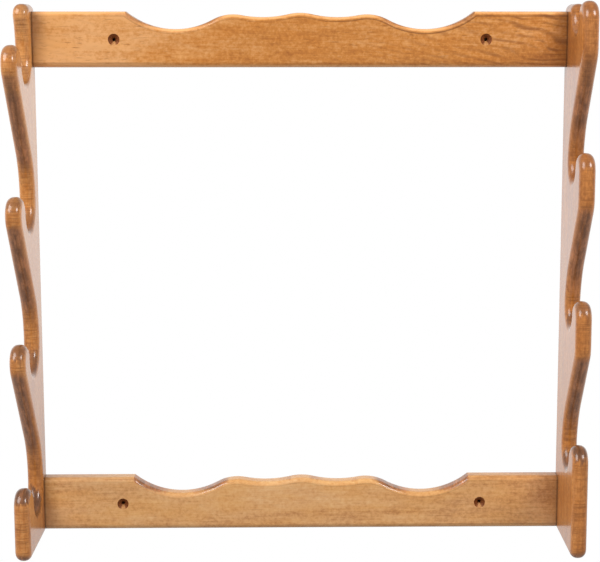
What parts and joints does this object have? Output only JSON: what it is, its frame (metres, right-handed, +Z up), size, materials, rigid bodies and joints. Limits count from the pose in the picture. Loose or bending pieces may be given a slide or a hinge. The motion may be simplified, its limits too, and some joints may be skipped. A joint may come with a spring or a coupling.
{
  "type": "wall rack",
  "caption": "Wooden wall rack: two profiled side boards with upturned hooks, joined by two scalloped rails that screw to the wall.",
  "frame": {"origin": "centre of the four wall screw holes, on the wall plane at the back of the rails", "axes": "+Z up, -Y out of the wall towards the user, +X to the right when facing the rack"},
  "size_m": [0.62, 0.12, 0.6002],
  "materials": {
    "side_wood": "stained hardwood under clear gloss lacquer",
    "rail_wood": "honey stained hardwood under clear gloss lacquer",
    "plug_wood": "stained end-grain wood under clear gloss lacquer",
    "screw_steel": "zinc plated steel"
  },
  "bodies": {
    "root": {"left_side_board": "side_wood", "right_side_board": "side_wood", "top_rail": "rail_wood", "bottom_rail": "rail_wood", "screw_top_left_1": "screw_steel", "screw_top_left_2": "screw_steel", "screw_top_right_1": "screw_steel", "screw_top_right_2": "screw_steel", "screw_bottom_left_1": "screw_steel", "screw_bottom_left_2": "screw_steel", "screw_bottom_right_1": "screw_steel", "screw_bottom_right_2": "screw_steel", "plug_top_left_1": "plug_wood", "plug_top_left_2": "plug_wood", "plug_top_right_1": "plug_wood", "plug_top_right_2": "plug_wood", "plug_bottom_left_1": "plug_wood", "plug_bottom_left_2": "plug_wood", "plug_bottom_right_1": "plug_wood", "plug_bottom_right_2": "plug_wood"}
  },
  "joints": []
}
